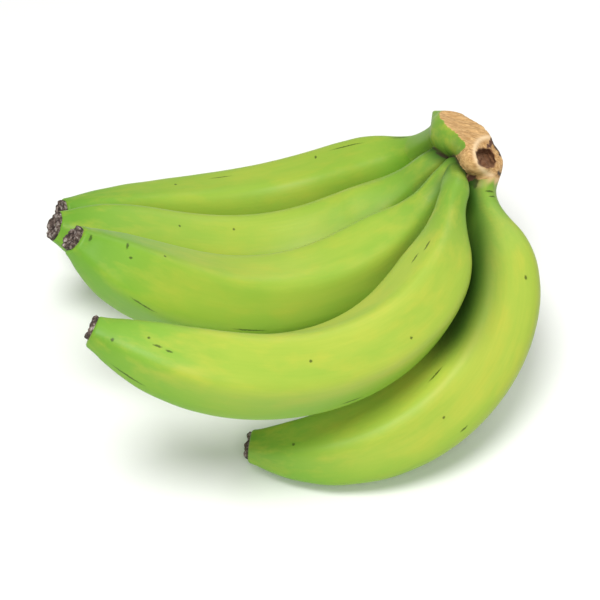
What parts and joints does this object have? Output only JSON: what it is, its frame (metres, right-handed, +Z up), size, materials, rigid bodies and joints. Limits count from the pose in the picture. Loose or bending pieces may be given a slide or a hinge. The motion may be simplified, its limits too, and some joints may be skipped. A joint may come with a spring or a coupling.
{
  "type": "hand of bananas",
  "caption": "Hand of green, unripe bananas still joined at one cut crown, lying on its side with curved fingers fanned out.",
  "frame": {"origin": "middle of the footprint's box, on the surface that the hand lies on", "axes": "+Z up, +X from the fingers' tips towards the cut crown, +Y towards the back finger"},
  "size_m": [0.2254, 0.2102, 0.1054],
  "materials": {
    "banana_skin": "satin"
  },
  "bodies": {
    "root": {"banana_hand": "banana_skin"}
  },
  "joints": []
}
